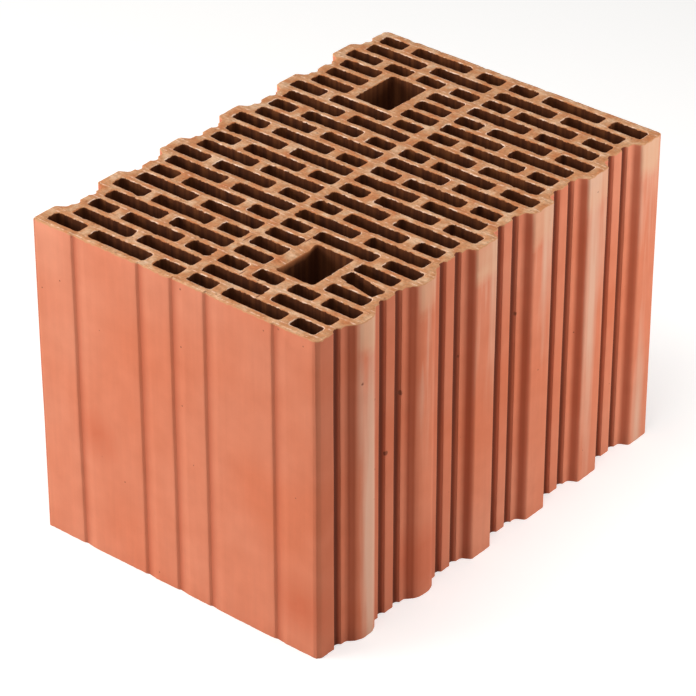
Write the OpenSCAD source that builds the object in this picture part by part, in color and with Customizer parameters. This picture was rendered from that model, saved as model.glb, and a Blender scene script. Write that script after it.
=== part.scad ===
// Perforated clay block for a one-leaf wall: extruded, cut and ground to height, fired as one piece.
// X runs along the wall, Y through it and Z up. The plaster face looks along -Y.
// Apart from its key grooves the section has half-turn symmetry about Z, so each end fits the next block's.

/* [Block] */
// Laying length, from the tongue tips of one end to the lands of the other
block_l = 248; // [220:1:300]
// Thickness of the wall that one block makes
block_w = 365; // [340:1:440]
// Height between the ground bed faces
block_h = 249; // [100:1:330]
// Radius of the upright corners on the lands
land_corner_r = 5; // [1:0.5:7]
// Radius of the upright corners on the end tongues
tongue_corner_r = 3; // [1:0.5:6]

/* [Slots] */
// Sets of four slot rows, with three more rows to close the pattern
row_sets = 5; // [3:1:5]
// Width of a slot through the wall
slot_w = 11; // [7:0.5:12]
// Radius of a slot's corners
slot_r = 2; // [0.5:0.25:3]
// Shell between the first row and the plaster face
face_shell = 6; // [4:0.5:10]
// Shell between the slots and the lands of the ends
side_shell = 7.5; // [6:0.5:11]
// Web on the block's middle line
centre_web = 8; // [5:0.5:12]
// Webs between the slots of a row
cross_web = 8; // [5:0.5:10]

/* [Grip holes] */
// Width of a grip hole along the wall
grip_w = 32; // [26:1:38]
// Distance of a grip hole from the block's middle line
grip_x = 56; // [50:1:60]
// Slot row where the front grip hole starts, three rows long
grip_row = 3; // [3:1:7]

/* [Tongues and grooves] */
// Height of a tongue above the lands
tongue_h = 7; // [6:0.5:10]
// Width of a tongue at its tip, between the corners that the edge radius takes off
tongue_tip_w = 21; // [14:0.5:23]
// Width of a tongue where its flanks meet the land
tongue_base_w = 28.5; // [25:0.5:30]
// Radius of the edges of a tongue's tip
tongue_tip_r = 2.5; // [0.5:0.25:3]
// Radius of the fillets at a tongue's root
tongue_root_r = 4; // [1:0.25:4.5]
// Width of the rib between two grooves
rib_w = 9; // [6:0.5:11]
// Radius of the round grooves beside a rib
groove_r = 3.75; // [3:0.25:4.5]
// Depth of a groove below the lands
groove_d = 2.5; // [1:0.25:3]

/* [Plaster face] */
// Width of a key groove in the plaster face
key_w = 11; // [8:0.5:14]
// Depth of a key groove
key_d = 1; // [0.75:0.25:2.5]
// Radius of the floor of a key groove, which a steep side cuts off towards -X
key_r = 26; // [15:1:40]

/* [Hidden] */
$fn = 48;
// Overlap that keeps cuts clear of the faces they open
eps = 1;
rows = 4 * row_sets + 3;
row_pitch = (block_w - 2 * face_shell - slot_w) / (rows - 1);
grip_rows = 3;
grip_l = (grip_rows - 1) * row_pitch + slot_w;
tip_x = (block_l + tongue_h) / 2;
land_x = tip_x - tongue_h;
core_x = land_x - side_shell;
// Each half row is four cells wide, and a long slot takes two cells and the web between them
cells = 4;
cell_w = (core_x - centre_web / 2 - (cells - 1) * cross_web) / cells;
cell_pitch = cell_w + cross_web;
short_row = [[0, 0], [1, 2], [3, 3]];
long_row = [[0, 1], [2, 3]];
split_row = [[0, 0], [1, 1], [2, 2], [3, 3]];
// Half the width that the whole arc of a key groove would have on the plaster face
key_half = sqrt(2 * key_r * key_d - key_d * key_d);
// Lean of a tongue's flanks, and the direction that the +Y flank faces
flank_a = atan((tongue_base_w - tongue_tip_w) / 2 / tongue_h);
flank_n = [sin(flank_a), cos(flank_a)];
// How far a round edge or fillet of a tongue is set across the faces it joins, to meet them at a slight angle
blend = 0.01;
// Middles of the round tip edge and the root fillet on the +Y flank
tip_in = tongue_tip_r - blend;
root_in = tongue_root_r - blend;
tip_c = [tongue_h - tip_in, flank_y(tongue_h - tip_in, tip_in)];
root_c = [root_in, flank_y(root_in, -root_in)];
// Distance from a rib's middle to the middle of the groove beside it
groove_offset = rib_w / 2 + sqrt(2 * groove_r * groove_d - groove_d * groove_d);

function row_y(k) = -block_w / 2 + face_shell + slot_w / 2 + k * row_pitch;
function cell_x(i) = centre_web / 2 + i * cell_pitch;
function is_tongue_row(k) = k % 4 == 2;
function is_rib_row(k) = k % 4 == 0;
function is_grip_row(k) = k >= grip_row && k < grip_row + grip_rows;
// Half width of a tongue at height x, along a line set in from its flank
function flank_y(x, inset) = tongue_base_w / 2 - (x * sin(flank_a) + inset) / cos(flank_a);

// The row before a grip hole has all four webs, to carry the grip
function row_cells(k) = k == grip_row - 1 ? split_row : k % 2 == 0 ? short_row : long_row;

// Ends of the slots in the +X half of row k, where the last slot of a tongue row reaches into the tongue
function row_spans(k) = is_grip_row(k)
    ? [[centre_web / 2, grip_x - grip_w / 2 - cross_web], [grip_x + grip_w / 2 + cross_web, end_x(k)]]
    : [for (c = row_cells(k)) [cell_x(c[0]), c[1] == cells - 1 ? end_x(k) : cell_x(c[1]) + cell_w]];
function end_x(k) = core_x + (is_tongue_row(k) ? tongue_h : 0);

// Rectangle with its low corner at the origin and round corners
module round_rect(size, r) {
    translate([r, 0]) square([size[0] - 2 * r, size[1]]);
    translate([0, r]) square([size[0], size[1] - 2 * r]);
    for (x = [r, size[0] - r], y = [r, size[1] - r]) translate([x, y]) circle(r);
}

// What a round corner takes off a square one that has its corner at the origin
module corner_cut(r) {
    difference() {
        translate([-eps, -eps]) square(r + eps);
        translate([r, r]) circle(r);
    }
}

// What is taken off beside a tongue that points along +X, from its +Y flank out to a reach
module half_recess(reach) {
    difference() {
        polygon([[0, tongue_base_w / 2], [0, reach], [tongue_h + eps, reach],
                 [tongue_h + eps, flank_y(tongue_h + eps, 0)]]);
        root_fillet();
    }
}

// Fillet between the +Y flank and the land
module root_fillet() {
    difference() {
        polygon([[-eps, flank_y(-eps, eps)], [-eps, root_c[1]], root_c, root_c - (tongue_root_r + eps) * flank_n]);
        translate(root_c) circle(tongue_root_r);
    }
}

// What the round tip edge takes off the +Y flank
module tip_cut() {
    difference() {
        polygon([tip_c, tip_c + (tongue_tip_r + eps) * flank_n,
                 [tongue_h + eps, flank_y(tongue_h + eps, -eps)], [tongue_h + eps, tip_c[1]]]);
        translate(tip_c) circle(tongue_tip_r);
    }
}

// Recesses of the +X end, from the plaster face to the last tongue, which runs out to the back
module recesses() {
    for (k = [0 : rows - 1])
        if (is_tongue_row(k))
            translate([land_x, row_y(k)]) {
                mirror([0, 1]) half_recess(k == 2 ? row_y(k) + block_w / 2 + eps : 2 * row_pitch + eps);
                mirror([0, 1]) tip_cut();
                if (k < rows - 1) {
                    half_recess(2 * row_pitch + eps);
                    tip_cut();
                }
            }
}

// Grooves of the +X end, on both sides of each rib but not at the corner
module grooves() {
    for (k = [0 : rows - 1], side = [-1, 1])
        if (is_rib_row(k) && k + side > 0) {
            translate([land_x + groove_r - groove_d, row_y(k) + side * groove_offset]) circle(groove_r);
        }
}

// Key groove, cut from the plaster face inwards
module key_groove() {
    intersection() {
        translate([key_w / 2 - key_half, key_d - key_r]) circle(key_r);
        translate([-key_w / 2, -eps]) square([key_w + eps, key_d + 2 * eps]);
    }
}

// Key groove in the plaster face over each web of the first row
module key_grooves() {
    for (i = [0, 1, 3], side = i == 0 ? [1] : [-1, 1])
        translate([side * i * cell_pitch, -block_w / 2]) key_groove();
}

// Slots and grip hole of the +X half
module half_core() {
    for (k = [0 : rows - 1], s = row_spans(k))
        translate([s[0], row_y(k) - slot_w / 2]) round_rect([s[1] - s[0], slot_w], slot_r);
    translate([grip_x - grip_w / 2, row_y(grip_row) - slot_w / 2]) round_rect([grip_w, grip_l], slot_r);
}

module outline() {
    difference() {
        square([2 * tip_x, block_w], center = true);
        for (turn = [0, 180]) rotate(turn) {
            recesses();
            grooves();
            translate([land_x, -block_w / 2]) mirror([1, 0]) corner_cut(land_corner_r);
            translate([tip_x, block_w / 2]) mirror([1, 0]) mirror([0, 1]) corner_cut(tongue_corner_r);
        }
        key_grooves();
    }
}

module clay_block() {
    color("#d98a68")
        linear_extrude(block_h)
            difference() {
                outline();
                for (turn = [0, 180]) rotate(turn) half_core();
            }
}

clay_block();
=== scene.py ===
import math

import bmesh
import bpy
from bpy.props import FloatProperty, FloatVectorProperty, IntProperty, PointerProperty
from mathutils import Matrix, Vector


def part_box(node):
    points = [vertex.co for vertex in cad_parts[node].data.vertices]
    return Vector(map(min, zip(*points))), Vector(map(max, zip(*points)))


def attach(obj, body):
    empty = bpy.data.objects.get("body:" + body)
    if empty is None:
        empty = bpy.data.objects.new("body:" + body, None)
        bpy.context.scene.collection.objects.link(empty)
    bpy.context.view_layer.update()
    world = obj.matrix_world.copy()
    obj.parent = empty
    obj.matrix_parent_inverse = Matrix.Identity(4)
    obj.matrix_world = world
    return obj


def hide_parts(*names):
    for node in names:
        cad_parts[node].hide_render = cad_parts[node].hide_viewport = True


bl_info = {
    "name": "Perforated clay block",
    "version": (1, 0, 0),
    "blender": (4, 5, 0),
    "location": "3D View > Sidebar > Clay block",
    "description": "Dresses a perforated clay block with worn arrises, ragged slots and fired clay",
    "category": "Object",
}

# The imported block, in metres: X along the wall, Y through it, Z up
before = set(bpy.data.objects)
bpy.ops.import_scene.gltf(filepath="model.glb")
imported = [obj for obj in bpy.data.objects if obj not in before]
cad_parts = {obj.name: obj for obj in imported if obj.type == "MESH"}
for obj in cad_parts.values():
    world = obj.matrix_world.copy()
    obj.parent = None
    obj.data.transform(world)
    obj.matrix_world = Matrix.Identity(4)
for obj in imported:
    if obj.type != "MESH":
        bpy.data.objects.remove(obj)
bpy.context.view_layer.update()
CAD_NODE = "clay_block"
LOW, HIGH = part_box(CAD_NODE)
HEIGHT = HIGH.z - LOW.z
MM = 0.001

# Slot rows: their number, a slot's width, the shell before the first row, that row's middle and the spacing
ROWS = 23
SLOT_W = 11 * MM
FACE_SHELL = 6 * MM
ROW_START = LOW.y + FACE_SHELL + SLOT_W / 2
ROW_PITCH = (HIGH.y - LOW.y - 2 * FACE_SHELL - SLOT_W) / (ROWS - 1)

# Ends: a tongue's height above the lands, and the middles, to 0.1 mm, of the two rubbed tongues of the +X end
TONGUE_H = 7 * MM
RUBBED = [round(ROW_START + row * ROW_PITCH, 4) for row in (2, 6)]

# Key grooves of the plaster face: spacing, steep side of the middle one, depth, and clay before a steep side
KEY_PITCH = 29.25 * MM
KEY_SIDE = -5.5 * MM
KEY_DEPTH = 1.0 * MM
KEY_LEAD = 1.0 * MM

# Mesh attribute that marks the clay beside the steep sides, for the painted shade there
KEY_SHADE = "key_shade"

# Marks that the photograph shows, each a place and a radius in metres
STAINS = [
    ((0.105, LOW.y, 0.037), 0.014), ((-0.078, LOW.y, 0.097), 0.009), ((HIGH.x, -0.0777, 0.030), 0.022),
]
NICKS = [
    ((0.1200, -0.0981, 0.1696), 0.0022), ((0.1200, -0.1127, 0.1300), 0.0018),
    ((0.1200, -0.0364, 0.1679), 0.0013), ((0.1200, 0.0262, 0.1725), 0.0018),
    ((0.1200, 0.1462, 0.1440), 0.0020), ((0.1265, -0.1312, 0.2055), 0.0009),
    ((0.1265, -0.1310, 0.1838), 0.0011), ((0.1265, -0.1307, 0.1651), 0.0009),
    ((0.1265, -0.1300, 0.1291), 0.0013), ((0.1270, -0.1454, 0.2030), 0.0009),
    ((0.1275, -0.0548, 0.1988), 0.0010), ((0.1275, 0.1074, 0.2346), 0.0009),
    ((-0.0330, LOW.y, 0.2455), 0.0007), ((0.0045, LOW.y, 0.2440), 0.0005),
    ((0.0760, LOW.y, 0.2410), 0.0006), ((0.0880, LOW.y, 0.2465), 0.0008),
    ((0.1090, LOW.y, 0.2420), 0.0005), ((-0.0920, LOW.y, 0.2470), 0.0007),
]
LIME_RUNS = [
    ((HIGH.x, -0.1362, 0.0850), 0.0098), ((HIGH.x, 0.0490, 0.2050), 0.0035),
    ((HIGH.x, 0.1050, 0.1450), 0.0080), ((HIGH.x, 0.1690, 0.0200), 0.0050),
]
TORN_CLAY = [((0.0400, -0.1088, HEIGHT), 0.0070)]
CRACKS = [
    ((0.0330, -0.0857, HEIGHT), 0.0004), ((0.0005, -0.1100, HEIGHT), 0.0004),
    ((0.0270, -0.1470, HEIGHT), 0.0003), ((0.0545, -0.1640, HEIGHT), 0.0004),
]

# Softboxes aimed at the block's middle: name, setting that holds the power, width and height, and place
SOFTBOXES = [
    ("Key softbox", "key_power", (1.8, 1.1), (-1.5, -1.35, 0.6)),
    ("Top softbox", "top_power", (1.0, 1.0), (0.0, -0.35, 1.8)),
    ("Side softbox", "side_power", (0.5, 0.5), (0.75, 0.35, 0.31)),
]

# Half the side of the floor, in metres
FLOOR_REACH = 6.0

# Kind of node-tree input that takes each kind of value
SOCKETS = {
    float: "NodeSocketFloat",
    int: "NodeSocketInt",
    Vector: "NodeSocketVector",
    bpy.types.Material: "NodeSocketMaterial",
}


def srgb(code):
    """Linear RGB of a hex sRGB colour."""
    parts = [int(code[i:i + 2], 16) / 255 for i in (1, 3, 5)]
    return [c / 12.92 if c <= 0.04045 else ((c + 0.055) / 1.055) ** 2.4 for c in parts]


def rgba(tone):
    """A property's colour with full alpha, for a shader socket."""
    return (*tone, 1.0)


def add(tree, kind, inputs=None, **settings):
    """Add a node, set its options, then fill or link its inputs by name or number.

    A node given as an input stands for its first live output, and a list links each of its members.
    """
    node = tree.nodes.new(kind)
    for name, value in settings.items():
        setattr(node, name, value)
    for key, value in (inputs or {}).items():
        for source in value if isinstance(value, list) else [value]:
            if isinstance(source, bpy.types.Node):
                source = next(socket for socket in source.outputs if socket.enabled)
            if isinstance(source, bpy.types.NodeSocket):
                tree.links.new(source, node.inputs[key])
            else:
                node.inputs[key].default_value = source
    return node


def length(name, description, default, top):
    """A size property in metres."""
    return FloatProperty(name=name, description=description, default=default, min=0.0, max=top,
                         precision=5, subtype="DISTANCE", unit="LENGTH")


def angle(name, description, degrees):
    """An angle property with its default written in degrees."""
    return FloatProperty(name=name, description=description, default=math.radians(degrees), subtype="ANGLE")


def spot(name, description, default):
    """A place property in metres."""
    return FloatVectorProperty(name=name, description=description, default=default, size=3,
                               subtype="TRANSLATION", unit="LENGTH")


def amount(name, description, default):
    """A plain number property that isn't negative."""
    return FloatProperty(name=name, description=description, default=default, min=0.0)


def colour(name, description, code):
    """A colour property with its default written as sRGB hex."""
    return FloatVectorProperty(name=name, description=description, default=srgb(code), min=0.0, max=1.0,
                               size=3, subtype="COLOR")


class ClayReliefSettings(bpy.types.PropertyGroup):
    slot_step: length("Slot step", "Spacing of points along a slot's rim", 1.6 * MM, 0.01)
    skin_step: length("Skin step", "Spacing of points along the block's outline", 1.9 * MM, 0.01)
    slot_rings: IntProperty(name="Slot rings", description="Rings of points down a slot wall",
                            default=8, min=8)
    skin_rings: IntProperty(name="Skin rings", description="Rings of points down the outer skin",
                            default=27, min=8)
    slot_arris: length("Slot arris", "Rounding of a slot's rim", 0.8 * MM, 0.003)
    skin_arris: length("Skin arris", "Rounding of the outer top and bottom edges", 0.4 * MM, 0.005)
    torn_depth: length("Torn depth", "Depth of the torn part of a slot wall", 6 * MM, 0.05)
    upright_edge: length("Upright edge", "Rounding of the outer upright edges", 0.7 * MM, 0.002)
    slot_shift: length("Slot shift", "How far a slot strays along its row", 0.9 * MM, 0.002)
    slot_turn: angle("Slot turn", "How far a slot turns from its row", 0.7)
    pressed_slot: spot("Pressed slot", "Middle of the slot that was pressed askew", (0.0965, -0.1088, HEIGHT))
    pressed_turn: angle("Pressed turn", "Turn of the slot that was pressed askew", -11.0)
    ragged_rim: length("Ragged rim", "Reach of the ragged rims", 0.4 * MM, 0.003)
    ragged_size: length("Ragged size", "Width of one notch in a ragged rim", 3.8 * MM, 0.02)
    drag_lines: length("Drag lines", "Height of the upright drag lines on the walls", 0.1 * MM, 0.002)
    worn_rim: spot("Worn rim", "Middle of the worn rim of a grip hole", (0.0395, -0.1088, HEIGHT))
    wear: length("Wear", "How far the worn rim is worn down", 1.8 * MM, 0.01)
    rub: length("Rub", "How far the edges of the rubbed tongues are set back", 2.2 * MM, 0.004)
    slump: length("Slump", "How far the steep sides of the key grooves have slumped", 2.0 * MM, 0.004)
    key_floor: length("Key floor", "Depth of the key grooves at their steep sides", 1.0 * MM, 0.003)
    chip_depth: length("Chip depth", "Depth of the chips along the rims", 0.9 * MM, 0.005)
    skin_wave: length("Skin wave", "Height of the slow waves in the skin", 0.4 * MM, 0.003)
    wave_size: length("Wave size", "Width of the slow waves in the skin", 40 * MM, 0.3)
    seed: IntProperty(name="Seed", description="Seed of the slots' small shifts", default=7)


class ClayFinishSettings(bpy.types.PropertyGroup):
    skin: colour("Skin", "Extruded skin", "#D68161")
    skin_deep: colour("Deep skin", "Hotter-fired patches of the skin", "#D37653")
    skin_pale: colour("Pale skin", "Paler patches of the skin", "#DA8C6D")
    # Painted shade: this colour darkens the flanks, lands and grooves of the ends and the clay beside the key
    # grooves
    recess_shade: colour("Recess", "Skin on the flanks and in the grooves of the ends", "#A34A2C")
    # Painted shadow in the bottoms of the grooves of the ends
    groove_shadow: colour("Groove", "Dirt in the bottoms of the grooves", "#56220F")
    stain: colour("Stain", "Rust-red patches of the skin", "#C05530")
    bloom: colour("Bloom", "Lime bloom on the tongues", "#DDBBA2")
    dust: colour("Dust", "Dust rubbed on to the tops of the tongues", "#DCAE8C")
    bed: colour("Bed", "Ground bed face", "#CC9165")
    bed_warm: colour("Warm bed", "Redder clay in the bed face", "#C57B4E")
    bed_pale: colour("Pale bed", "Dusty clay in the bed face", "#E2B792")
    # Painted highlight: the pale lip on the slot rims and beside the slot rows
    lip: colour("Lip", "Torn lip round the slots", "#F8D4B8")
    slot: colour("Slot wall", "Clay inside the slots", "#4C2816")
    slot_deep: colour("Deep slot wall", "Darkest drag lines inside the slots", "#2E160C")
    slot_pale: colour("Pale slot wall", "Palest drag lines inside the slots", "#683B20")
    slot_sheen: colour("Slot sheen", "Dull sheen of the slot walls", "#FF9A6E")
    pit: colour("Pit", "Pits and specks", "#7A3F2A")


class ClayStageSettings(bpy.types.PropertyGroup):
    floor: colour("Floor", "Floor and backdrop", "#DCDAD7")
    floor_lift: amount("Floor lift", "Glow that lifts the floor to white where it is seen directly", 0.5)
    azimuth: angle("Azimuth", "Camera's turn from the plaster face", 39.65)
    elevation: angle("Elevation", "Camera's height above the horizon", 31.95)
    distance: length("Distance", "Camera's distance from its target", 2.4315, 20.0)
    target: spot("Target", "Point that the camera looks at", (-0.0055, 0.0, 0.1077))
    lens: amount("Lens", "Focal length in millimetres", 178.7)
    sensor: amount("Sensor", "Width of the camera's sensor in millimetres", 36.0)
    key_power: amount("Key light", "Power of the softbox on the left, in watts", 46.0)
    top_power: amount("Top light", "Power of the softbox overhead, in watts", 17.5)
    side_power: amount("Side light", "Power of the softbox on the right, in watts", 4.1)
    sky: amount("Sky light", "Strength of the even light from all round", 0.09)


def new_material(name):
    """A material with an empty node tree."""
    material = bpy.data.materials.new(name)
    material.use_nodes = True
    material.node_tree.nodes.clear()
    return material, material.node_tree


def clay_tones(tree, source, low, tones):
    """Clay in three tones, spread evenly about the middle of a noise."""
    ramp = add(tree, "ShaderNodeValToRGB", {"Fac": source})
    stops = ramp.color_ramp.elements
    stops[0].position = low
    stops[1].position = 1.0 - low
    stops.new(0.5)
    for stop, tone in zip(stops, tones):
        stop.color = rgba(tone)
    return ramp


def nearest(tree, place, marks, squeeze=None):
    """Distance of each place from the edge of the nearest mark, with the marks drawn out by a squeeze."""
    if squeeze:
        place = add(tree, "ShaderNodeVectorMath", {0: place, 1: squeeze}, operation="MULTIPLY")
        marks = [(tuple(a * b for a, b in zip(centre, squeeze)), radius) for centre, radius in marks]
    gap = None
    for centre, radius in marks:
        away = add(tree, "ShaderNodeVectorMath", {0: place, 1: centre}, operation="DISTANCE")
        edge = add(tree, "ShaderNodeMath", {0: away, 1: radius}, operation="SUBTRACT")
        if gap is not None:
            edge = add(tree, "ShaderNodeMath", {0: gap, 1: edge}, operation="MINIMUM")
        gap = edge
    return gap


def fired_skin(finish):
    """Extruded clay skin: matt salmon, clouded by the kiln, with painted shade on the flanks and grooves,
    limed on the tips.
    """
    material, tree = new_material("Fired clay, extruded skin")
    place = add(tree, "ShaderNodeTexCoord").outputs["Object"]
    axes = add(tree, "ShaderNodeSeparateXYZ", {"Vector": place}).outputs
    skin, cloud, streak, smear = drawn_clay(tree, finish, place, axes)

    # Rust-red patches of the plaster face and the second tongue, frayed over about 12 mm
    frayed = add(tree, "ShaderNodeMath", {0: smear, 1: -30 * MM, 2: nearest(tree, place, STAINS)},
                 operation="MULTIPLY_ADD")
    stain = add(tree, "ShaderNodeMapRange", {0: frayed, 2: -24 * MM, 4: 0.5})
    skin = add(tree, "ShaderNodeMix", {0: stain, 6: skin, 7: rgba(finish.stain)}, data_type="RGBA")

    # Painted shade along the steep sides of the key grooves
    keyed = add(tree, "ShaderNodeAttribute", attribute_name=KEY_SHADE).outputs["Fac"]
    shade = add(tree, "ShaderNodeMath", {0: keyed, 1: 0.62}, operation="MULTIPLY")
    skin = add(tree, "ShaderNodeMix", {0: shade, 6: skin, 7: rgba(finish.recess_shade)}, data_type="RGBA")

    skin, depth, on_end = end_tones(tree, finish, axes, skin)
    proud = add(tree, "ShaderNodeMapRange", {0: depth, 1: 2.2 * MM, 2: 0.6 * MM})
    tip = add(tree, "ShaderNodeMath", {0: proud, 1: on_end}, operation="MULTIPLY")
    skin = limed_tips(tree, finish, place, axes, streak, tip, skin)

    # Dust rubbed on to the top 25 mm of some tongues, to a frayed line
    low = add(tree, "ShaderNodeMath", {0: smear, 1: 24 * MM, 2: axes["Z"]}, operation="MULTIPLY_ADD")
    top = add(tree, "ShaderNodeMapRange", {0: low, 1: HEIGHT - 18 * MM, 2: HEIGHT - 6 * MM, 4: 0.7})
    some = add(tree, "ShaderNodeMapRange", {0: cloud, 1: 0.34, 2: 0.5, 3: 0.3})
    dusty = add(tree, "ShaderNodeMath", {0: top, 1: some}, operation="MULTIPLY")
    dusty = add(tree, "ShaderNodeMath", {0: dusty, 1: tip}, operation="MULTIPLY")
    skin = add(tree, "ShaderNodeMix", {0: dusty, 6: skin, 7: rgba(finish.dust)}, data_type="RGBA")
    skin, pit = pitted_skin(tree, finish, place, axes, skin)

    # Relief: orange peel about 7 mm, streaks, fine grit about 0.9 mm, and the pits
    peel = add(tree, "ShaderNodeTexNoise", {"Vector": place, "Scale": 1000 / 7, "Detail": 2.0})
    grit = add(tree, "ShaderNodeTexNoise", {"Vector": place, "Scale": 1000 / 0.9, "Detail": 2.0})
    relief = add(tree, "ShaderNodeMath", {0: grit, 1: 0.25, 2: streak}, operation="MULTIPLY_ADD")
    relief = add(tree, "ShaderNodeMath", {0: relief, 1: peel}, operation="ADD")
    relief = add(tree, "ShaderNodeMath", {0: relief, 1: pit}, operation="SUBTRACT")
    bump = add(tree, "ShaderNodeBump", {"Strength": 0.3, "Distance": 0.3 * MM, "Height": relief})
    shader = add(tree, "ShaderNodeBsdfPrincipled", {
        "Base Color": skin, "Roughness": 0.82, "Specular IOR Level": 0.25, "IOR": 1.5, "Normal": bump})
    add(tree, "ShaderNodeOutputMaterial", {"Surface": shader})
    return material


def drawn_clay(tree, finish, place, axes):
    """Clay as the die and the kiln leave it, and the noises of its clouds, streaks and smears."""
    # Kiln clouds about 80 mm across; the tone is also deeper half way up and towards the corner of plaster
    # face and +X end
    cloud = add(tree, "ShaderNodeTexNoise", {
        "Vector": place, "Scale": 1000 / 80, "Detail": 3.0, "Roughness": 0.5})
    turned = add(tree, "ShaderNodeVectorMath", {0: place, 1: (-1.0, 0.75, 0.0)}, operation="DOT_PRODUCT")
    softer = add(tree, "ShaderNodeMapRange", {0: cloud, 3: 0.17, 4: 0.77})
    fired = add(tree, "ShaderNodeMath", {0: turned, 1: 0.6, 2: softer}, operation="MULTIPLY_ADD")
    halfway = add(tree, "ShaderNodeMath", {0: axes["Z"], 1: HEIGHT / 2}, operation="SUBTRACT")
    halfway = add(tree, "ShaderNodeMath", {0: halfway}, operation="ABSOLUTE")
    fired = add(tree, "ShaderNodeMath", {0: halfway, 1: 0.9, 2: fired}, operation="MULTIPLY_ADD")
    clay = clay_tones(tree, fired, 0.32, (finish.skin_deep, finish.skin, finish.skin_pale))

    # Die streaks about 4 mm apart and softer smears about 20 mm across, both faint
    upright = add(tree, "ShaderNodeMapping", {"Vector": place, "Scale": (1.0, 1.0, 0.06)})
    streak = add(tree, "ShaderNodeTexNoise", {"Vector": upright, "Scale": 1000 / 4, "Detail": 3.0})
    smear = add(tree, "ShaderNodeTexNoise", {
        "Vector": place, "Scale": 1000 / 20, "Detail": 4.0, "Roughness": 0.6})
    lines = add(tree, "ShaderNodeMapRange", {0: streak, 1: 0.3, 2: 0.7, 3: 0.98, 4: 1.02})
    tone = add(tree, "ShaderNodeMapRange", {0: smear, 1: 0.3, 2: 0.7, 3: 0.96, 4: 1.04})
    tone = add(tree, "ShaderNodeMath", {0: lines, 1: tone}, operation="MULTIPLY")
    drawn = add(tree, "ShaderNodeVectorMath", {0: clay, "Scale": tone}, operation="SCALE")
    return drawn, cloud, streak, smear


def end_tones(tree, finish, axes, skin):
    """Skin with painted shade on the flanks, lands and grooves of the ends, depth below the tips, and the
    ends' share.
    """
    reach = add(tree, "ShaderNodeMath", {0: axes["X"]}, operation="ABSOLUTE")
    inside = add(tree, "ShaderNodeMath", {0: axes["Y"]}, operation="ABSOLUTE")
    off_face = add(tree, "ShaderNodeMapRange", {0: inside, 1: HIGH.y - 2 * MM, 2: HIGH.y - 5 * MM})
    at_end = add(tree, "ShaderNodeMapRange", {0: reach, 1: HIGH.x - 13 * MM, 2: HIGH.x - 12 * MM})
    on_end = add(tree, "ShaderNodeMath", {0: off_face, 1: at_end}, operation="MULTIPLY")
    depth = add(tree, "ShaderNodeMath", {0: HIGH.x, 1: reach}, operation="SUBTRACT")

    # Painted shade on the flanks, between the tips and the lands, less towards the back
    below_tip = add(tree, "ShaderNodeMapRange", {0: depth, 1: 0.8 * MM, 2: 3 * MM})
    above_land = add(tree, "ShaderNodeMapRange", {0: depth, 1: TONGUE_H - 0.2 * MM, 2: TONGUE_H - 1.8 * MM})
    flank = add(tree, "ShaderNodeMath", {0: below_tip, 1: above_land}, operation="MULTIPLY")
    fading = add(tree, "ShaderNodeMapRange", {0: axes["Y"], 1: -0.05, 2: HIGH.y, 3: 0.64, 4: 0.36})
    flank = add(tree, "ShaderNodeMath", {0: flank, 1: fading}, operation="MULTIPLY")

    # Painted shade on the lands, more towards the plaster face, and in the round grooves below them
    on_land = add(tree, "ShaderNodeMapRange", {0: depth, 1: TONGUE_H - 1.4 * MM, 2: TONGUE_H - 0.4 * MM})
    shade_to_front = add(tree, "ShaderNodeMapRange", {0: axes["Y"], 1: -0.15, 2: 0.1, 3: 0.28, 4: 0.0})
    land = add(tree, "ShaderNodeMath", {0: on_land, 1: shade_to_front}, operation="MULTIPLY")
    groove_shadow = add(tree, "ShaderNodeMapRange", {
        0: depth, 1: TONGUE_H + 0.4 * MM, 2: TONGUE_H + 1.8 * MM, 4: 0.95})
    painted_shade = add(tree, "ShaderNodeMath", {0: flank, 1: groove_shadow}, operation="MAXIMUM")
    painted_shade = add(tree, "ShaderNodeMath", {0: painted_shade, 1: land}, operation="MAXIMUM")
    painted_shade = add(tree, "ShaderNodeMath", {0: painted_shade, 1: on_end}, operation="MULTIPLY")
    skin = add(tree, "ShaderNodeMix", {0: painted_shade, 6: skin, 7: rgba(finish.recess_shade)}, data_type="RGBA")

    # Painted shadow in the bottoms of the grooves
    bottom = add(tree, "ShaderNodeMapRange", {
        0: depth, 1: TONGUE_H + 1.3 * MM, 2: TONGUE_H + 2.4 * MM, 4: 0.9})
    bottom = add(tree, "ShaderNodeMath", {0: bottom, 1: on_end}, operation="MULTIPLY")
    groove_shadowed = add(tree, "ShaderNodeMix", {0: bottom, 6: skin, 7: rgba(finish.groove_shadow)}, data_type="RGBA")
    return groove_shadowed, depth, on_end


def limed_tips(tree, finish, place, axes, streak, tip, skin):
    """Skin with lime bloom on the tips, in soft upright runs about 16 mm wide."""
    run = add(tree, "ShaderNodeMapping", {"Vector": place, "Scale": (1.0, 1.0, 0.1)})
    broad = add(tree, "ShaderNodeTexNoise", {"Vector": run, "Scale": 1000 / 16, "Detail": 2.0})
    lime = add(tree, "ShaderNodeMath", {0: streak, 1: 0.6, 2: broad}, operation="MULTIPLY_ADD")
    patchy = add(tree, "ShaderNodeMapRange", {0: lime, 1: 0.76, 2: 1.0})
    rise = add(tree, "ShaderNodeMapRange", {0: axes["Z"], 1: HEIGHT * 0.4, 2: HEIGHT, 4: 0.7})
    runs = add(tree, "ShaderNodeMath", {0: patchy, 1: rise}, operation="MULTIPLY")

    # The runs that the photograph shows are whole, with frayed sides
    seen = nearest(tree, place, LIME_RUNS, (1.0, 1.0, 0.06))
    frayed = add(tree, "ShaderNodeMath", {0: lime, 1: -9 * MM, 2: seen}, operation="MULTIPLY_ADD")
    whole = add(tree, "ShaderNodeMapRange", {0: frayed, 1: -5.5 * MM, 2: -12 * MM, 4: 0.65})
    share = add(tree, "ShaderNodeMath", {0: runs, 1: whole}, operation="MAXIMUM")
    share = add(tree, "ShaderNodeMath", {0: share, 1: tip}, operation="MULTIPLY")
    return add(tree, "ShaderNodeMix", {0: share, 6: skin, 7: rgba(finish.bloom)}, data_type="RGBA")


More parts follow.
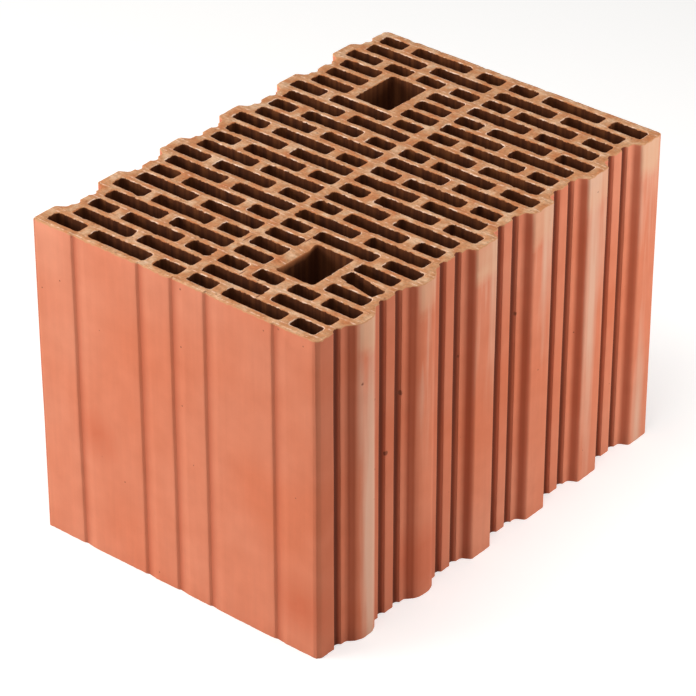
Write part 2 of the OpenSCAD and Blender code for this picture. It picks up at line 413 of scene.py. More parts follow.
def pitted_skin(tree, finish, place, axes, skin):
    """Skin with ground clay along its top edge, pits and nicks, and the share of pits."""
    # Ground clay shows round the top edge, to a ragged line up to 1.4 mm down
    crumb = add(tree, "ShaderNodeTexNoise", {
        "Vector": place, "Scale": 1000 / 4, "Detail": 4.0, "Roughness": 0.65})
    line = add(tree, "ShaderNodeMapRange", {0: crumb, 1: 0.42, 2: 0.72, 3: 0.2 * MM, 4: 1.4 * MM})
    drop = add(tree, "ShaderNodeMath", {0: HEIGHT, 1: axes["Z"]}, operation="SUBTRACT")
    past = add(tree, "ShaderNodeMath", {0: drop, 1: line}, operation="SUBTRACT")
    edge = add(tree, "ShaderNodeMapRange", {0: past, 1: 0.3 * MM, 2: -0.2 * MM})
    edged = add(tree, "ShaderNodeMix", {0: edge, 6: skin, 7: rgba(finish.bed)}, data_type="RGBA")

    # Pits where grit was pulled out, under 1 mm across and about 20 mm apart, and the larger nicks
    cells = add(tree, "ShaderNodeTexVoronoi", {"Vector": place, "Scale": 1000 / 20})
    speck = add(tree, "ShaderNodeMapRange", {0: cells, 1: 0.035, 2: 0.02, 4: 0.8})
    torn = add(tree, "ShaderNodeMath", {0: crumb, 1: -3 * MM, 2: nearest(tree, place, NICKS)},
               operation="MULTIPLY_ADD")
    nick = add(tree, "ShaderNodeMapRange", {0: torn, 1: -1.2 * MM, 2: -2.0 * MM, 4: 0.9})
    pit = add(tree, "ShaderNodeMath", {0: speck, 1: nick}, operation="MAXIMUM")
    pitted = add(tree, "ShaderNodeMix", {0: pit, 6: edged, 7: rgba(finish.pit)}, data_type="RGBA")
    return pitted, pit


def ground_bed(finish):
    """Ground bed face: buff and dusty, with redder clay showing through, torn spots and drag scratches."""
    material, tree = new_material("Fired clay, ground bed")
    place = add(tree, "ShaderNodeTexCoord").outputs["Object"]

    # Redder clay in patches about 13 mm across
    patch = add(tree, "ShaderNodeTexNoise", {
        "Vector": place, "Scale": 1000 / 13, "Detail": 6.0, "Roughness": 0.65})
    clay = clay_tones(tree, patch, 0.34, (finish.bed_warm, finish.bed, finish.bed_pale))

    # Torn grain about 2 mm across, with short drag scratches along the block about 1.5 mm apart
    drawn = add(tree, "ShaderNodeMapping", {"Vector": place, "Scale": (0.3, 1.0, 1.0)})
    scratch = add(tree, "ShaderNodeTexNoise", {"Vector": drawn, "Scale": 1000 / 1.5, "Detail": 3.0})
    grain = add(tree, "ShaderNodeTexNoise", {
        "Vector": place, "Scale": 1000 / 2.2, "Detail": 4.0, "Roughness": 0.65})
    mixed = add(tree, "ShaderNodeMath", {0: grain, 1: 2.0, 2: scratch}, operation="MULTIPLY_ADD")
    tone = add(tree, "ShaderNodeMapRange", {0: mixed, 1: 1.1, 2: 1.9, 3: 0.82, 4: 1.16})
    clay = add(tree, "ShaderNodeVectorMath", {0: clay, "Scale": tone}, operation="SCALE")
    # Painted highlight in pale bands beside the slot rows
    clay = add(tree, "ShaderNodeMix", {0: rim_highlights(tree, place), 6: clay, 7: rgba(finish.lip)}, data_type="RGBA")

    # Torn spots about 1.5 mm across and 9 mm apart, and fine cracks across some webs
    cells = add(tree, "ShaderNodeTexVoronoi", {"Vector": place, "Scale": 1000 / 9})
    speck = add(tree, "ShaderNodeMapRange", {0: cells, 1: 0.11, 2: 0.05, 4: 0.6})
    line = nearest(tree, place, CRACKS, (1.0, 0.1, 1.0))
    strayed = add(tree, "ShaderNodeMath", {0: patch, 1: -1.5 * MM, 2: line}, operation="MULTIPLY_ADD")
    crack = add(tree, "ShaderNodeMapRange", {0: strayed, 1: -0.55 * MM, 2: -0.8 * MM, 4: 0.9})
    pit = add(tree, "ShaderNodeMath", {0: speck, 1: crack}, operation="MAXIMUM")
    clay = add(tree, "ShaderNodeMix", {0: pit, 6: clay, 7: rgba(finish.pit)}, data_type="RGBA")

    # Relief: grain, scratches and spots
    relief = add(tree, "ShaderNodeMath", {0: grain, 1: scratch}, operation="ADD")
    relief = add(tree, "ShaderNodeMath", {0: relief, 1: pit}, operation="SUBTRACT")
    bump = add(tree, "ShaderNodeBump", {"Strength": 0.5, "Distance": 0.45 * MM, "Height": relief})
    shader = add(tree, "ShaderNodeBsdfPrincipled", {
        "Base Color": clay, "Roughness": 0.9, "Specular IOR Level": 0.2, "IOR": 1.5, "Normal": bump})
    add(tree, "ShaderNodeOutputMaterial", {"Surface": shader})
    return material


def rim_highlights(tree, place):
    """Share of painted highlight: pale bands up to 1 mm wide beside the slot rows, in crumbs about 4 mm long.
    """
    axes = add(tree, "ShaderNodeSeparateXYZ", {"Vector": place}).outputs
    row = add(tree, "ShaderNodeMath", {0: axes["Y"], 1: ROW_START - ROW_PITCH / 2}, operation="SUBTRACT")
    row = add(tree, "ShaderNodeMath", {0: row, 1: ROW_PITCH}, operation="FLOORED_MODULO")
    off_row = add(tree, "ShaderNodeMath", {0: row, 1: ROW_PITCH / 2}, operation="SUBTRACT")
    off_row = add(tree, "ShaderNodeMath", {0: off_row}, operation="ABSOLUTE")
    off_rim = add(tree, "ShaderNodeMath", {0: off_row, 1: SLOT_W / 2 + 0.4 * MM}, operation="SUBTRACT")
    off_rim = add(tree, "ShaderNodeMath", {0: off_rim}, operation="ABSOLUTE")
    crumb = add(tree, "ShaderNodeTexNoise", {
        "Vector": place, "Scale": 1000 / 4, "Detail": 4.0, "Roughness": 0.7})
    wide = add(tree, "ShaderNodeMapRange", {0: crumb, 1: 0.45, 2: 0.7, 4: 1.3 * MM})
    over = add(tree, "ShaderNodeMath", {0: off_rim, 1: wide}, operation="SUBTRACT")
    return add(tree, "ShaderNodeMapRange", {0: over, 1: 0.1 * MM, 2: -0.7 * MM, 4: 0.7})


def slot_wall(finish):
    """Slot walls: near-black, dull clay with upright drag lines under a thin, torn rim of ground clay, pale
    in stretches as painted highlight.
    """
    material, tree = new_material("Fired clay, slot wall")
    place = add(tree, "ShaderNodeTexCoord").outputs["Object"]
    axes = add(tree, "ShaderNodeSeparateXYZ", {"Vector": place}).outputs

    # Drag lines from the cores of the die, about 5 mm apart
    upright = add(tree, "ShaderNodeMapping", {"Vector": place, "Scale": (1.0, 1.0, 0.02)})
    drag = add(tree, "ShaderNodeTexNoise", {"Vector": upright, "Scale": 1000 / 5, "Detail": 2.0})
    wall = clay_tones(tree, drag, 0.3, (finish.slot_deep, finish.slot, finish.slot_pale))

    # Rim notched about every 3 mm, up to 0.8 mm deep, and pale in stretches about 9 mm long as painted
    # highlight
    notch = add(tree, "ShaderNodeTexNoise", {
        "Vector": place, "Scale": 1000 / 3, "Detail": 3.0, "Roughness": 0.6})
    line = add(tree, "ShaderNodeMapRange", {0: notch, 1: 0.32, 2: 0.68, 3: 0.1 * MM, 4: 0.8 * MM})
    drop = add(tree, "ShaderNodeMath", {0: HEIGHT, 1: axes["Z"]}, operation="SUBTRACT")
    to_bed = add(tree, "ShaderNodeMath", {0: drop, 1: axes["Z"]}, operation="MINIMUM")
    past = add(tree, "ShaderNodeMath", {0: to_bed, 1: line}, operation="SUBTRACT")
    rim = add(tree, "ShaderNodeMapRange", {0: past, 1: 0.15 * MM, 2: -0.1 * MM})
    stretch = add(tree, "ShaderNodeTexNoise", {
        "Vector": place, "Scale": 1000 / 9, "Detail": 3.0, "Roughness": 0.6})
    lip = clay_tones(tree, stretch, 0.36, (finish.bed_warm, finish.bed, finish.lip))

    # Torn clay below the worn rim of the grip hole, drawn out 4 times along the rim
    torn = nearest(tree, place, TORN_CLAY, (1.0, 0.25, 1.0))
    torn = add(tree, "ShaderNodeMath", {0: stretch, 1: -6 * MM, 2: torn}, operation="MULTIPLY_ADD")
    share = add(tree, "ShaderNodeMapRange", {0: torn, 1: -3 * MM, 2: -9 * MM})
    wall = add(tree, "ShaderNodeMix", {0: share, 6: wall, 7: rgba(finish.bed_warm)}, data_type="RGBA")
    wall = add(tree, "ShaderNodeMix", {0: rim, 6: wall, 7: lip}, data_type="RGBA")

    bump = add(tree, "ShaderNodeBump", {"Strength": 0.5, "Distance": 0.4 * MM, "Height": drag})
    shader = add(tree, "ShaderNodeBsdfPrincipled", {
        "Base Color": wall, "Roughness": 1.0, "Specular IOR Level": 0.8, "IOR": 1.5,
        "Specular Tint": rgba(finish.slot_sheen), "Normal": bump})
    add(tree, "ShaderNodeOutputMaterial", {"Surface": shader})
    return material


def relief_tree(inputs):
    """Node tree that takes the plain block and gives it worn arrises, ragged slots and waving walls."""
    tree = bpy.data.node_groups.new("Clay block relief", "GeometryNodeTree")
    tree.interface.new_socket("Geometry", in_out="OUTPUT", socket_type="NodeSocketGeometry")
    tree.interface.new_socket("Geometry", in_out="INPUT", socket_type="NodeSocketGeometry")
    for name, value in inputs.items():
        tree.interface.new_socket(name, in_out="INPUT", socket_type=SOCKETS[type(value)])
    given = add(tree, "NodeGroupInput").outputs
    position = add(tree, "GeometryNodeInputPosition")
    normals = add(tree, "GeometryNodeInputNormal").outputs

    # Rims: the outlines of the upper bed face, one closed curve for each slot and one for the block
    facing = add(tree, "ShaderNodeSeparateXYZ", {0: normals["True Normal"]}).outputs
    is_top = add(tree, "FunctionNodeCompare", {0: facing["Z"], 1: 0.99}, operation="GREATER_THAN")
    bed = add(tree, "GeometryNodeSeparateGeometry", {0: given["Geometry"], 1: is_top}, domain="FACE")
    touching = add(tree, "GeometryNodeInputMeshEdgeNeighbors")
    is_rim = add(tree, "FunctionNodeCompare", {2: touching, 3: 1}, data_type="INT", operation="EQUAL")
    rims = add(tree, "GeometryNodeMeshToCurve", {0: bed, 1: is_rim})
    rims = add(tree, "GeometryNodeSetCurveNormal", {0: rims}, mode="Z_UP")
    spline = add(tree, "GeometryNodeSplineLength")
    is_skin = add(tree, "FunctionNodeCompare", {0: spline, 1: 1.0}, operation="GREATER_THAN")
    parted = add(tree, "GeometryNodeSeparateGeometry", {0: rims, 1: is_skin}, domain="CURVE").outputs
    skin = eased_corners(tree, given, position, parted["Selection"])
    skin = finer(tree, position, skin, given["Skin step"])
    slots = add(tree, "GeometryNodeResampleCurve", {0: parted["Inverted"], 3: given["Slot step"]},
                mode="LENGTH")

    walls = []
    beds = []
    half = add(tree, "ShaderNodeMath", {0: given["Height"], 1: 0.5}, operation="MULTIPLY")
    for name, rim, deep in (("Skin", skin, half), ("Slot", slots, given["Torn depth"])):
        rim = turned_out(tree, position, normals["Normal"], bed, rim)
        if name == "Slot":
            rim = strayed_slots(tree, given, position, rim)
        arris = given[name + " arris"]
        section = wall_section(tree, given["Height"], given[name + " rings"], arris, deep)
        wall = add(tree, "GeometryNodeCurveToMesh", {0: rim, 1: section})
        walls.append(add(tree, "GeometryNodeSetMaterial", {0: wall, 2: given[name + " clay"]}))

        # The bed face starts where the quarter round ends
        pull = add(tree, "ShaderNodeMath", {0: arris, 1: -1.0}, operation="MULTIPLY")
        into = add(tree, "ShaderNodeVectorMath", {0: normals["Normal"], "Scale": pull}, operation="SCALE")
        beds.append(add(tree, "GeometryNodeSetPosition", {0: rim, 3: into}))

    bed_rims = add(tree, "GeometryNodeJoinGeometry", {0: beds})
    filled = add(tree, "GeometryNodeFillCurve", {0: bed_rims}, mode="TRIANGLES")
    raised = add(tree, "ShaderNodeCombineXYZ", {"Z": given["Height"]})
    upper = add(tree, "GeometryNodeSetPosition", {0: filled, 3: raised})
    lower = add(tree, "GeometryNodeFlipFaces", {0: filled})
    caps = add(tree, "GeometryNodeJoinGeometry", {0: [upper, lower]})
    caps = add(tree, "GeometryNodeSetMaterial", {0: caps, 2: given["Bed clay"]})
    whole = add(tree, "GeometryNodeJoinGeometry", {0: [caps, *walls]})
    sewn = add(tree, "GeometryNodeMergeByDistance", {0: whole, "Distance": 0.02 * MM})
    worn = worn_surface(tree, given, position, sewn)
    smooth = add(tree, "GeometryNodeSetShadeSmooth", {0: worn})
    real = add(tree, "GeometryNodeRealizeInstances", {0: smooth})
    add(tree, "NodeGroupOutput", {0: real})
    return tree


def beside(tree, position, offset):
    """Place of the point some steps along a curve from each point."""
    here = add(tree, "GeometryNodeInputIndex")
    there = add(tree, "GeometryNodeOffsetPointInCurve", {0: here, 1: offset}).outputs
    return add(tree, "GeometryNodeFieldAtIndex", {0: position, "Index": there["Point Index"]},
               data_type="FLOAT_VECTOR", domain="POINT")


def eased_corners(tree, given, position, curve):
    """Round the sharp corners of the outline a little, and leave the points of its arcs as they are."""
    before = beside(tree, position, -1)
    after = beside(tree, position, 1)
    coming = add(tree, "ShaderNodeVectorMath", {0: position, 1: before}, operation="SUBTRACT")
    going = add(tree, "ShaderNodeVectorMath", {0: after, 1: position}, operation="SUBTRACT")
    coming = add(tree, "ShaderNodeVectorMath", {0: coming}, operation="NORMALIZE")
    going = add(tree, "ShaderNodeVectorMath", {0: going}, operation="NORMALIZE")
    along = add(tree, "ShaderNodeVectorMath", {0: coming, 1: going}, operation="DOT_PRODUCT")
    sharpest = math.cos(math.radians(20.0))
    is_sharp = add(tree, "ShaderNodeMath", {0: along, 1: sharpest}, operation="LESS_THAN")
    count = add(tree, "ShaderNodeMath", {0: is_sharp, 1: 3.0}, operation="MULTIPLY")
    radius = add(tree, "ShaderNodeMath", {0: is_sharp, 1: given["Upright edge"]}, operation="MULTIPLY")
    return add(tree, "GeometryNodeFilletCurve", {
        0: curve, "Count": count, "Radius": radius, "Limit Radius": True}, mode="POLY")


def finer(tree, position, curve, step):
    """Cut each straight of a curve into pieces about as long as step, and keep its corners."""
    run = add(tree, "ShaderNodeVectorMath", {0: beside(tree, position, 1), 1: position}, operation="DISTANCE")
    pieces = add(tree, "ShaderNodeMath", {0: run, 1: step}, operation="DIVIDE")
    cuts = add(tree, "ShaderNodeMath", {0: pieces}, operation="FLOOR")
    return add(tree, "GeometryNodeSubdivideCurve", {0: curve, 1: cuts})


def turned_out(tree, position, normal, bed, rim):
    """Turn every curve of a rim so that its normal points out of the clay."""
    probe = add(tree, "ShaderNodeVectorMath", {0: normal, "Scale": 0.4 * MM}, operation="SCALE")
    probed = add(tree, "ShaderNodeVectorMath", {0: position, 1: probe}, operation="ADD")
    near = add(tree, "GeometryNodeProximity", {0: bed, 2: probed}, target_element="FACES").outputs
    in_clay = add(tree, "ShaderNodeMath", {0: near["Distance"], 1: 0.1 * MM}, operation="LESS_THAN")
    at_points = add(tree, "GeometryNodeFieldOnDomain", {0: in_clay}, domain="POINT", data_type="FLOAT")
    is_turned = add(tree, "FunctionNodeCompare", {0: at_points, 1: 0.5}, operation="GREATER_THAN")
    return add(tree, "GeometryNodeReverseCurve", {0: rim, 1: is_turned})


def wall_section(tree, height, count, arris, deep):
    """Upright section of a wall: a quarter round at each bed face, then even steps as far as deep."""
    index = add(tree, "GeometryNodeInputIndex")
    last = add(tree, "ShaderNodeMath", {0: count, 1: 1.0}, operation="SUBTRACT")
    middle = add(tree, "ShaderNodeMath", {0: last, 1: 0.5}, operation="MULTIPLY")
    from_end = add(tree, "ShaderNodeMath", {0: last, 1: index}, operation="SUBTRACT")
    ring = add(tree, "ShaderNodeMath", {0: index, 1: from_end}, operation="MINIMUM")

    # Two rings round the arris, the rest below it
    turn = add(tree, "ShaderNodeMapRange", {0: ring, 2: 2.0, 4: math.pi / 2})
    rise = add(tree, "ShaderNodeMath", {0: turn}, operation="COSINE")
    run = add(tree, "ShaderNodeMath", {0: turn}, operation="SINE")
    below = add(tree, "ShaderNodeMapRange", {0: rise, 1: 1.0, 2: 0.0, 4: arris})
    short = add(tree, "ShaderNodeMath", {0: run, 1: 1.0}, operation="SUBTRACT")
    inset = add(tree, "ShaderNodeMath", {0: short, 1: arris}, operation="MULTIPLY")
    deepest = add(tree, "ShaderNodeMath", {0: middle}, operation="FLOOR")
    reach = add(tree, "ShaderNodeMath", {0: deep, 1: arris}, operation="SUBTRACT")
    further = add(tree, "ShaderNodeMapRange", {0: ring, 1: 2.0, 2: deepest, 4: reach})
    drop = add(tree, "ShaderNodeMath", {0: below, 1: further}, operation="ADD")

    # The lower half of the rings is the upper half upside down
    is_low = add(tree, "ShaderNodeMath", {0: index, 1: middle}, operation="GREATER_THAN")
    rest = add(tree, "ShaderNodeMath", {0: height, 1: drop}, operation="SUBTRACT")
    down = add(tree, "ShaderNodeMix", {0: is_low, 2: drop, 3: rest})
    point = add(tree, "ShaderNodeCombineXYZ", {"X": inset, "Y": down})
    line = add(tree, "GeometryNodeMeshLine", {"Count": count})
    section = add(tree, "GeometryNodeMeshToCurve", {0: line})
    return add(tree, "GeometryNodeSetPosition", {0: section, 2: point})


def strayed_slots(tree, given, position, slots):
    """Shift and turn each slot a little about its own middle, and press one askew by the front grip hole."""
    curve = add(tree, "GeometryNodeCurveOfPoint")
    centre = add(tree, "GeometryNodeFieldAverage", {0: position, 1: curve},
                 data_type="FLOAT_VECTOR", domain="POINT")
    across = add(tree, "ShaderNodeMath", {0: given["Slot shift"], 1: 0.4}, operation="MULTIPLY")
    spread = add(tree, "ShaderNodeCombineXYZ", {"X": given["Slot shift"], "Y": across})
    flipped = add(tree, "ShaderNodeVectorMath", {0: spread, "Scale": -1.0}, operation="SCALE")
    shift = add(tree, "FunctionNodeRandomValue", {
        0: flipped, 1: spread, "ID": curve, "Seed": given["Seed"]}, data_type="FLOAT_VECTOR")
    least = add(tree, "ShaderNodeMath", {0: given["Slot turn"], 1: -1.0}, operation="MULTIPLY")
    turn = add(tree, "FunctionNodeRandomValue", {
        2: least, 3: given["Slot turn"], "ID": curve, "Seed": given["Seed"]}, data_type="FLOAT")
    away = add(tree, "ShaderNodeVectorMath", {0: centre, 1: given["Pressed slot"]}, operation="DISTANCE")
    is_pressed = add(tree, "ShaderNodeMath", {0: away, 1: 6 * MM}, operation="LESS_THAN")
    extra = add(tree, "ShaderNodeMath", {0: is_pressed, 1: given["Pressed turn"]}, operation="MULTIPLY")
    angled = add(tree, "ShaderNodeMath", {0: turn, 1: extra}, operation="ADD")
    spun = add(tree, "ShaderNodeVectorRotate", {
        "Vector": position, "Center": centre, "Axis": (0.0, 0.0, 1.0), "Angle": angled})
    moved = add(tree, "ShaderNodeVectorMath", {0: spun, 1: shift}, operation="ADD")
    return add(tree, "GeometryNodeSetPosition", {0: slots, 2: moved})


def wander(tree, place, per_metre, detail, reach):
    """Move of each place by a noise, up to a reach each way."""
    noise = add(tree, "ShaderNodeTexNoise", {"Vector": place, "Scale": per_metre, "Detail": detail}).outputs
    centred = add(tree, "ShaderNodeVectorMath", {0: noise["Color"], 1: (0.5, 0.5, 0.5)}, operation="SUBTRACT")
    twice = add(tree, "ShaderNodeMath", {0: reach, 1: 2.0}, operation="MULTIPLY")
    return add(tree, "ShaderNodeVectorMath", {0: centred, "Scale": twice}, operation="SCALE")


def worn_surface(tree, given, position, surface):
    """Waves, drag lines, ragged rims and wear, each a field of place so that sewn seams stay closed."""
    axes = add(tree, "ShaderNodeSeparateXYZ", {0: position}).outputs
    below = add(tree, "ShaderNodeMath", {0: given["Height"], 1: axes["Z"]}, operation="SUBTRACT")

    # Slow waves, drawn out upright, and drag lines about 4.5 mm apart all the way down
    tall = add(tree, "ShaderNodeVectorMath", {0: position, 1: (1.0, 1.0, 0.35)}, operation="MULTIPLY")
    per_wave = add(tree, "ShaderNodeMath", {0: 1.0, 1: given["Wave size"]}, operation="DIVIDE")
    waved = wander(tree, tall, per_wave, 1.0, given["Skin wave"])
    drawn = add(tree, "ShaderNodeVectorMath", {0: position, 1: (1.0, 1.0, 0.04)}, operation="MULTIPLY")
    dragged = wander(tree, drawn, 1000 / 4.5, 2.0, given["Drag lines"])

    # Ragged rims, gone about 7 mm from a bed face
    to_bed = add(tree, "ShaderNodeMath", {0: below, 1: axes["Z"]}, operation="MINIMUM")
    by_bed = add(tree, "ShaderNodeMapRange", {0: to_bed, 1: 0.0, 2: 7 * MM, 3: 1.0, 4: 0.0},
                 interpolation_type="SMOOTHSTEP")
    per_notch = add(tree, "ShaderNodeMath", {0: 1.0, 1: given["Ragged size"]}, operation="DIVIDE")
    tear = add(tree, "ShaderNodeMath", {0: given["Ragged rim"], 1: by_bed}, operation="MULTIPLY")
    torn = wander(tree, position, per_notch, 2.0, tear)

    # The clay beside the steep sides of the key grooves is marked for the painted shade in the skin's shader
    slumped, shade = slumped_keys(tree, given, axes)
    marked = add(tree, "GeometryNodeStoreNamedAttribute", {0: surface, "Name": KEY_SHADE, "Value": shade},
                 data_type="FLOAT", domain="POINT")

    # Only the chips move a point up or down, so the block stays flat on its bed
    moves = waved
    for move in (dragged, slumped, rubbed_tips(tree, given, axes), torn):
        moves = add(tree, "ShaderNodeVectorMath", {0: moves, 1: move}, operation="ADD")
    level = add(tree, "ShaderNodeVectorMath", {0: moves, 1: (1.0, 1.0, 0.0)}, operation="MULTIPLY")
    chipped = chipped_rims(tree, given, position, below)
    offset = add(tree, "ShaderNodeVectorMath", {0: level, 1: chipped}, operation="ADD")
    return add(tree, "GeometryNodeSetPosition", {0: marked, 3: offset})


def chipped_rims(tree, given, position, below):
    """Drop of the upper rims: chips where a noise peaks, and the worn -X rim of the front grip hole."""
    flat = add(tree, "ShaderNodeVectorMath", {0: position, 1: (1.0, 1.0, 0.0)}, operation="MULTIPLY")
    peak = add(tree, "ShaderNodeTexNoise", {
        "Vector": flat, "Scale": 1000 / 9, "Detail": 3.0, "Roughness": 0.6})
    lost = add(tree, "ShaderNodeMapRange", {0: peak, 1: 0.55, 2: 0.75})
    by_top = add(tree, "ShaderNodeMapRange", {0: below, 1: 0.0, 2: 6 * MM, 3: 1.0, 4: 0.0})
    lost = add(tree, "ShaderNodeMath", {0: lost, 1: by_top}, operation="MULTIPLY")
    sunk = add(tree, "ShaderNodeMath", {0: lost, 1: given["Chip depth"]}, operation="MULTIPLY")

    from_rim = add(tree, "ShaderNodeVectorMath", {0: position, 1: given["Worn rim"]}, operation="SUBTRACT")
    off = add(tree, "ShaderNodeVectorMath", {0: from_rim}, operation="ABSOLUTE")
    off = add(tree, "ShaderNodeSeparateXYZ", {0: off}).outputs
    beside_rim = add(tree, "ShaderNodeMapRange", {0: off["X"], 1: 5 * MM, 2: 1 * MM})
    along_rim = add(tree, "ShaderNodeMapRange", {0: off["Y"], 1: 21 * MM, 2: 15 * MM})
    worn = add(tree, "ShaderNodeMath", {0: beside_rim, 1: along_rim}, operation="MULTIPLY")
    worn = add(tree, "ShaderNodeMath", {0: worn, 1: by_top}, operation="MULTIPLY")
    sunk = add(tree, "ShaderNodeMath", {0: worn, 1: given["Wear"], 2: sunk}, operation="MULTIPLY_ADD")
    lowered = add(tree, "ShaderNodeMath", {0: sunk, 1: -1.0}, operation="MULTIPLY")
    return add(tree, "ShaderNodeCombineXYZ", {"Z": lowered})


def rubbed_tips(tree, given, axes):
    """Set-back of the tip edges of the two front tongues of the +X end, which are rubbed round."""
    from_tongue = None
    for middle in RUBBED:
        off = add(tree, "ShaderNodeMath", {0: axes["Y"], 1: middle}, operation="SUBTRACT")
        off = add(tree, "ShaderNodeMath", {0: off}, operation="ABSOLUTE")
        if from_tongue is not None:
            off = add(tree, "ShaderNodeMath", {0: off, 1: from_tongue}, operation="MINIMUM")
        from_tongue = off
    to_edge = add(tree, "ShaderNodeMapRange", {0: from_tongue, 1: 4 * MM, 2: 11 * MM},
                  interpolation_type="SMOOTHSTEP")
    by_tip = add(tree, "ShaderNodeMapRange", {0: axes["X"], 1: HIGH.x - 5 * MM, 2: HIGH.x - 1 * MM})
    near_one = add(tree, "ShaderNodeMath", {0: from_tongue, 1: 16 * MM}, operation="LESS_THAN")
    rub = to_edge
    for factor in (by_tip, near_one, given["Rub"], -1.0):
        rub = add(tree, "ShaderNodeMath", {0: rub, 1: factor}, operation="MULTIPLY")
    return add(tree, "ShaderNodeCombineXYZ", {"X": rub})


def slumped_keys(tree, given, axes):
    """Move that slumps the steep sides of the key grooves and straightens their floors, and their shade."""
    sunken = add(tree, "ShaderNodeMath", {0: axes["Y"], 1: LOW.y}, operation="SUBTRACT")
    in_key = add(tree, "ShaderNodeMapRange", {0: sunken, 1: 0.1 * MM, 2: 0.6 * MM})
    on_face = add(tree, "ShaderNodeMapRange", {0: sunken, 1: KEY_DEPTH + 0.3 * MM, 2: KEY_DEPTH + 0.1 * MM})
    in_key = add(tree, "ShaderNodeMath", {0: in_key, 1: on_face}, operation="MULTIPLY")
    along = add(tree, "ShaderNodeMath", {0: axes["X"], 1: KEY_SIDE - KEY_LEAD}, operation="SUBTRACT")
    along = add(tree, "ShaderNodeMath", {0: along, 1: KEY_PITCH}, operation="FLOORED_MODULO")
    slid = add(tree, "ShaderNodeMapRange", {0: along, 1: KEY_LEAD, 2: 7 * MM, 3: 1.0, 4: 0.0})
    slid = add(tree, "ShaderNodeMath", {0: slid, 1: given["Slump"]}, operation="MULTIPLY")

    # The floor rises straight from the steep side to the face
    floor = add(tree, "ShaderNodeMapRange", {
        0: along, 1: KEY_LEAD, 2: 12 * MM, 3: given["Key floor"], 4: 0.0})
    deeper = add(tree, "ShaderNodeMath", {0: floor, 1: sunken}, operation="SUBTRACT")
    slump = add(tree, "ShaderNodeCombineXYZ", {"X": slid, "Y": deeper})
    slumped = add(tree, "ShaderNodeVectorMath", {0: slump, "Scale": in_key}, operation="SCALE")
    beyond = add(tree, "ShaderNodeMapRange", {0: along, 1: 2.5 * MM, 2: 9.5 * MM, 3: 1.0, 4: 0.0})
    shade = add(tree, "ShaderNodeMath", {0: beyond, 1: in_key}, operation="MULTIPLY")
    return slumped, shade


class CLAY_OT_block(bpy.types.Operator):
    """Make the dressed clay block from the plain one"""
    bl_idname = "clay.block"
    bl_label = "Clay block"

    def execute(self, context):
        relief = context.scene.clay_relief
        finish = context.scene.clay_finish
        block = self.copy_plain(context.scene)
        inputs = {"Height": HEIGHT}
        for key in ClayReliefSettings.__annotations__:
            inputs[relief.bl_rna.properties[key].name] = getattr(relief, key)
        inputs["Skin clay"] = fired_skin(finish)
        inputs["Bed clay"] = ground_bed(finish)
        inputs["Slot clay"] = slot_wall(finish)
        tree = relief_tree(inputs)
        modifier = block.modifiers.new("Clay block relief", "NODES")
        modifier.node_group = tree
        for item in tree.interface.items_tree:
            if item.name in inputs:
                modifier[item.identifier] = inputs[item.name]
        seen = block.evaluated_get(context.evaluated_depsgraph_get())
        dressed = bpy.data.meshes.new_from_object(seen)
        block.modifiers.remove(modifier)
        block.data = dressed
        for index in reversed(range(len(dressed.materials))):
            if dressed.materials[index] is None:
                dressed.materials.pop(index=index)
        if not dressed.polygons:
            raise RuntimeError("the relief tree made no block")
        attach(block, "root")
        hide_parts(CAD_NODE)
        return {"FINISHED"}

    def copy_plain(self, scene):
        """A merged copy of the plain block, in an object of its own."""
        plain = bpy.data.meshes.new("clay_block_plain")
        shape = bmesh.new()
        shape.from_mesh(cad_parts[CAD_NODE].data)
        bmesh.ops.remove_doubles(shape, verts=shape.verts, dist=0.005 * MM)
        shape.to_mesh(plain)
        shape.free()
        block = bpy.data.objects.new("clay_block_dressed", plain)
        scene.collection.objects.link(block)
        return block


def seen_directly(tree):
    """1 on rays that show the studio itself, 0 on those that light the block."""
    path = add(tree, "ShaderNodeLightPath").outputs
    seen = path["Is Camera Ray"]
    for ray in ("Is Glossy Ray", "Is Transmission Ray"):
        seen = add(tree, "ShaderNodeMath", {0: seen, 1: path[ray]}, operation="MAXIMUM")
    return seen


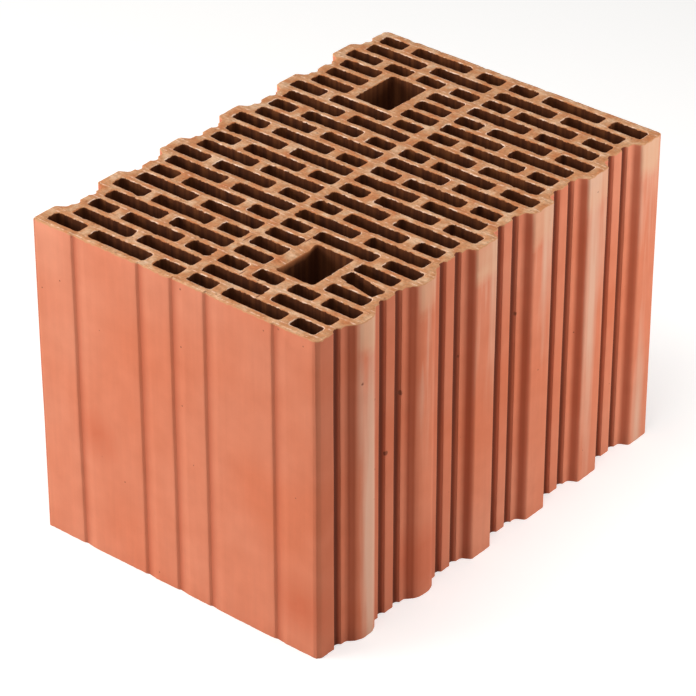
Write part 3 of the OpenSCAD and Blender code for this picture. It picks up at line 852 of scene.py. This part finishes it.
class CLAY_OT_stage(bpy.types.Operator):
    """Make the floor, the lights and the camera"""
    bl_idname = "clay.stage"
    bl_label = "Studio stage"

    def execute(self, context):
        scene = context.scene
        stage = scene.clay_stage
        scene.view_settings.view_transform = "Standard"
        self.make_floor(scene, stage)
        self.make_world(scene, stage)
        for name, power, size, place in SOFTBOXES:
            self.make_softbox(scene, name, getattr(stage, power), size, place)
        self.make_camera(scene, stage)
        return {"FINISHED"}

    def make_floor(self, scene, stage):
        """White studio paper: matt, lifted to white where it is seen directly, with the shadow kept."""
        mesh = bpy.data.meshes.new("floor")
        corners = [(-1, -1), (1, -1), (1, 1), (-1, 1)]
        mesh.from_pydata([(x * FLOOR_REACH, y * FLOOR_REACH, 0.0) for x, y in corners], [], [(0, 1, 2, 3)])
        floor = bpy.data.objects.new("floor", mesh)
        scene.collection.objects.link(floor)
        material, tree = new_material("White studio paper")
        paper = add(tree, "ShaderNodeBsdfDiffuse", {"Color": rgba(stage.floor)})
        seen = seen_directly(tree)
        lift = add(tree, "ShaderNodeMath", {0: seen, 1: stage.floor_lift}, operation="MULTIPLY")
        glow = add(tree, "ShaderNodeEmission", {"Color": (1.0, 1.0, 1.0, 1.0), "Strength": lift})
        both = add(tree, "ShaderNodeAddShader", {0: paper, 1: glow})
        add(tree, "ShaderNodeOutputMaterial", {"Surface": both})
        mesh.materials.append(material)

    def make_world(self, scene, stage):
        world = bpy.data.worlds.new("Studio")
        world.use_nodes = True
        tree = world.node_tree
        tree.nodes.clear()
        level = add(tree, "ShaderNodeMapRange", {0: seen_directly(tree), 3: stage.sky, 4: 1.0})
        sky = add(tree, "ShaderNodeBackground", {"Color": (1.0, 1.0, 1.0, 1.0), "Strength": level})
        add(tree, "ShaderNodeOutputWorld", {"Surface": sky})
        scene.world = world

    def make_softbox(self, scene, name, power, size, place):
        light = bpy.data.lights.new(name, "AREA")
        light.shape = "RECTANGLE"
        light.size, light.size_y = size
        light.energy = power
        lamp = bpy.data.objects.new(name, light)
        lamp.location = place
        aim = Vector((0.0, 0.0, HEIGHT / 2)) - Vector(place)
        lamp.rotation_euler = aim.to_track_quat("-Z", "Y").to_euler()
        scene.collection.objects.link(lamp)

    def make_camera(self, scene, stage):
        data = bpy.data.cameras.new("Camera")
        data.sensor_width = stage.sensor
        data.lens = stage.lens
        data.clip_start = 0.01
        data.clip_end = 50.0
        camera = bpy.data.objects.new("Camera", data)
        level = math.cos(stage.elevation)
        back = Vector((math.sin(stage.azimuth) * level, -math.cos(stage.azimuth) * level,
                       math.sin(stage.elevation)))
        camera.location = Vector(stage.target) + back * stage.distance
        camera.rotation_euler = (-back).to_track_quat("-Z", "Y").to_euler()
        scene.collection.objects.link(camera)
        scene.camera = camera


class CLAY_PT_panel(bpy.types.Panel):
    bl_label = "Clay block"
    bl_idname = "CLAY_PT_panel"
    bl_space_type = "VIEW_3D"
    bl_region_type = "UI"
    bl_category = "Clay block"

    def draw(self, context):
        layout = self.layout
        for settings in (context.scene.clay_relief, context.scene.clay_finish, context.scene.clay_stage):
            box = layout.box()
            for name in settings.__annotations__:
                box.prop(settings, name)
        layout.operator(CLAY_OT_block.bl_idname)
        layout.operator(CLAY_OT_stage.bl_idname)


CLASSES = (
    ClayReliefSettings, ClayFinishSettings, ClayStageSettings, CLAY_OT_block, CLAY_OT_stage, CLAY_PT_panel,
)


def register():
    for cls in CLASSES:
        bpy.utils.register_class(cls)
    bpy.types.Scene.clay_relief = PointerProperty(type=ClayReliefSettings)
    bpy.types.Scene.clay_finish = PointerProperty(type=ClayFinishSettings)
    bpy.types.Scene.clay_stage = PointerProperty(type=ClayStageSettings)


def unregister():
    del bpy.types.Scene.clay_stage
    del bpy.types.Scene.clay_finish
    del bpy.types.Scene.clay_relief
    for cls in reversed(CLASSES):
        bpy.utils.unregister_class(cls)


def main():
    register()
    bpy.ops.clay.block()
    bpy.ops.clay.stage()


if __name__ == "__main__":
    main()
